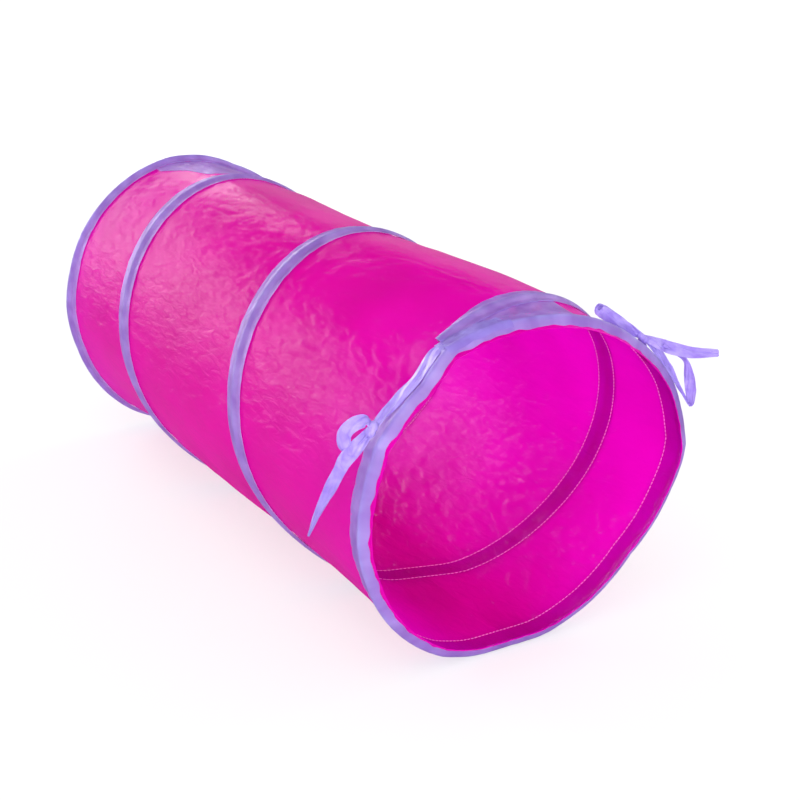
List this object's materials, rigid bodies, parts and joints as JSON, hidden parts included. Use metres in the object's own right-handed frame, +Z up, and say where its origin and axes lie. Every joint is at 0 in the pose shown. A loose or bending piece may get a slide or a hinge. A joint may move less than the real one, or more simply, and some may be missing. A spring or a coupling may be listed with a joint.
{
  "type": "pet play tunnel",
  "caption": "Pop-up cloth play tunnel for pets, held open by a coiled spring wire in a sewn tape channel and wire rings in the end bindings, with ribbon bows on the front rim.",
  "frame": {"origin": "middle of the flat foot under the rear ring, on the floor", "axes": "+Y along the tunnel from the front opening to the rear one, +Z up, +X to the right for someone who looks in at the front"},
  "size_m": [0.3047, 0.5655, 0.2549],
  "materials": {
    "cloth": "glossy thin satin",
    "tape": "satin",
    "ribbon": "satin",
    "thread": "matte",
    "spring_steel": "bright drawn"
  },
  "bodies": {
    "rear_end": {"tunnel_skin": "cloth", "coil_wire": "spring_steel", "coil_tape": "tape", "coil_stitches_rear_row": "thread", "coil_stitches_front_row": "thread", "rear_ring_wire": "spring_steel", "rear_wire_sleeve": "spring_steel", "rear_rim_binding": "tape", "rear_rim_stitches": "thread", "rear_joint_patch": "tape"},
    "front_end": {"front_ring_wire": "spring_steel", "front_wire_sleeve": "spring_steel", "front_rim_binding": "tape", "front_rim_stitches": "thread", "front_joint_patch": "tape", "left_tie": "ribbon", "right_tie": "ribbon"}
  },
  "joints": [
    {"name": "collapse", "type": "slide", "parent": "rear_end", "child": "front_end", "axis": [0, 1, 0], "range_m": [0, 0.48], "stiffness_N_per_m": 3, "springref_m": -0.35, "deforming": ["tunnel_skin", "coil_wire", "coil_tape", "coil_stitches_rear_row", "coil_stitches_front_row", "rear_joint_patch"]}
  ]
}
